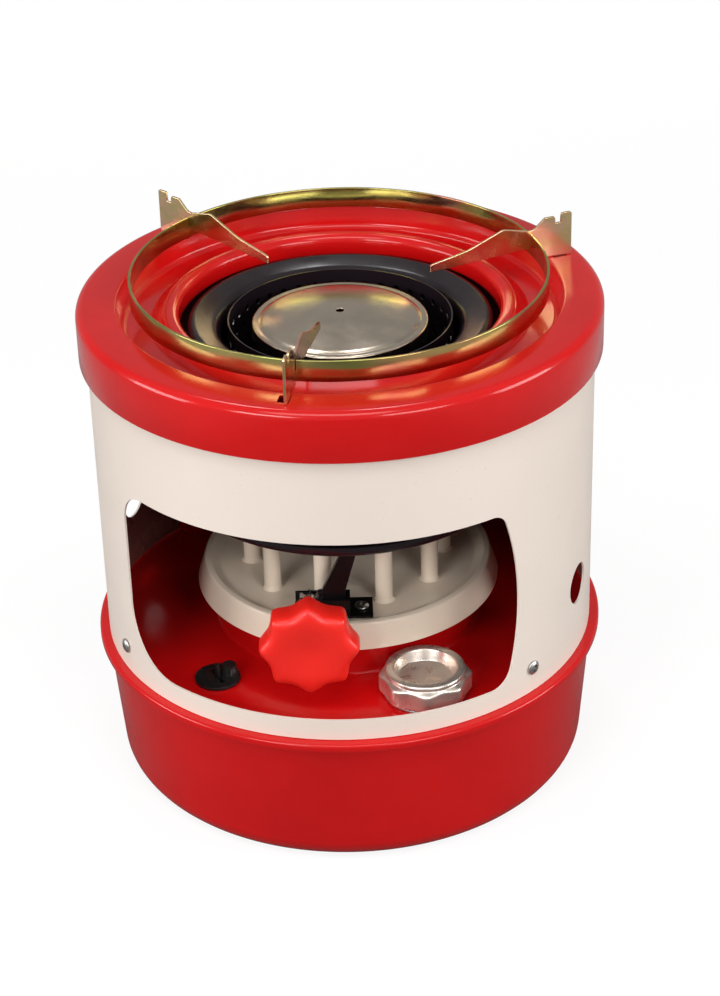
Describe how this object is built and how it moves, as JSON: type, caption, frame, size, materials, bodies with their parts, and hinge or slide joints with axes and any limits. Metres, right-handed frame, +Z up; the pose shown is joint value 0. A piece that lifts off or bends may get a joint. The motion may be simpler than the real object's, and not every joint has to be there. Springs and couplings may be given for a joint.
{
  "type": "portable kerosene stove",
  "caption": "Round portable kerosene stove: fuel tank, windowed shell with knob-raised round wicks, perforated burner sleeves, lift-off cover and ring pot stand.",
  "frame": {"origin": "centre of the tank's flat bottom, where the stove stands", "axes": "+Z up; the window and knob face -Y; +X is to the right of someone facing the knob"},
  "size_m": [0.2378, 0.2378, 0.2544],
  "materials": {
    "tank_enamel": "gloss enamel, red",
    "red_enamel": "gloss enamel, red",
    "cream_enamel": "gloss enamel, cream",
    "black_enamel": "gloss enamel, black",
    "yellow_zinc": "yellow passivated zinc plate",
    "plain_zinc": "plain zinc plate",
    "chrome": "bright nickel or chrome plate",
    "plain_steel": "plain steel",
    "red_plastic": "moulded red plastic",
    "wick_cotton": "white cotton",
    "black_rubber": "black rubber",
    "black_plastic": "black plastic"
  },
  "bodies": {
    "tank": {"tank_pan": "tank_enamel", "tank_top": "tank_enamel", "filler_neck": "plain_zinc", "gauge_bezel": "black_plastic", "body_shell": "cream_enamel", "shell_lug_1": "tank_enamel", "shell_lug_2": "tank_enamel", "shell_lug_3": "tank_enamel", "shell_lug_4": "tank_enamel", "shell_screw_1": "plain_steel", "shell_screw_2": "plain_steel", "shell_screw_3": "plain_steel", "shell_screw_4": "plain_steel", "wick_dish": "cream_enamel", "wick_tube_01": "cream_enamel", "wick_tube_02": "cream_enamel", "wick_tube_03": "cream_enamel", "wick_tube_04": "cream_enamel", "wick_tube_05": "cream_enamel", "wick_tube_06": "cream_enamel", "wick_tube_07": "cream_enamel", "wick_tube_08": "cream_enamel", "wick_tube_09": "cream_enamel", "wick_tube_10": "cream_enamel", "lifter_bracket": "black_enamel", "bracket_screw": "plain_steel"},
    "knob": {"control_knob": "red_plastic", "knob_shaft": "plain_steel", "knob_pinion": "plain_steel"},
    "wick_frame": {"wick_carrier": "plain_steel", "wick_01": "wick_cotton", "wick_02": "wick_cotton", "wick_03": "wick_cotton", "wick_04": "wick_cotton", "wick_05": "wick_cotton", "wick_06": "wick_cotton", "wick_07": "wick_cotton", "wick_08": "wick_cotton", "wick_09": "wick_cotton", "wick_10": "wick_cotton", "lift_rack": "black_enamel"},
    "gauge_float": {"gauge_float": "black_plastic"},
    "cap_gasket": {"filler_gasket": "black_rubber"},
    "filler_cap": {"filler_cap": "chrome"},
    "burner": {"burner_base": "black_enamel", "burner_casing": "black_enamel", "outer_sleeve": "black_enamel", "inner_sleeve": "black_enamel", "flame_ring": "black_enamel", "burner_cap": "plain_zinc"},
    "cover": {"top_cover": "red_enamel"},
    "pot_stand": {"stand_ring": "yellow_zinc", "stand_fin_1": "yellow_zinc", "stand_fin_2": "yellow_zinc", "stand_fin_3": "yellow_zinc"}
  },
  "joints": [
    {"name": "knob_turn", "type": "hinge", "parent": "tank", "child": "knob", "pos_m": [-0.0175, -0.0968, 0.104], "axis": [0, -1, 0], "range_deg": [0, 134.9]},
    {"name": "wick_lift", "type": "slide", "parent": "tank", "child": "wick_frame", "axis": [0, 0, 1], "range_m": [0, 0.0113]},
    {"name": "float_swing", "type": "hinge", "parent": "tank", "child": "gauge_float", "pos_m": [-0.06057, -0.06273, 0.062], "axis": [-0.8988, -0.4384, 0], "range_deg": [-20, 20]},
    {"name": "cap_rise", "type": "slide", "parent": "tank", "child": "cap_gasket", "axis": [0, 0, 1], "range_m": [0, 0.004]},
    {"name": "cap_turn", "type": "hinge", "parent": "cap_gasket", "child": "filler_cap", "pos_m": [0.03373, -0.07758, 0.07], "axis": [0, 0, 1], "range_deg": [0, 719.9]},
    {"name": "burner_lift", "type": "slide", "parent": "tank", "child": "burner", "axis": [0, 0, 1], "range_m": [0, 0.0105]},
    {"name": "cover_lift", "type": "slide", "parent": "tank", "child": "cover", "axis": [0, 0, 1], "range_m": [0, 0.06]},
    {"name": "stand_lift", "type": "slide", "parent": "cover", "child": "pot_stand", "axis": [0, 0, 1], "range_m": [0, 0.03]}
  ],
  "couplings": [
    {"joint": "knob_turn", "follows": "wick_lift", "rad_per_m": 208.33},
    {"joint": "cap_rise", "follows": "cap_turn", "m_per_rad": 0.00031831}
  ]
}
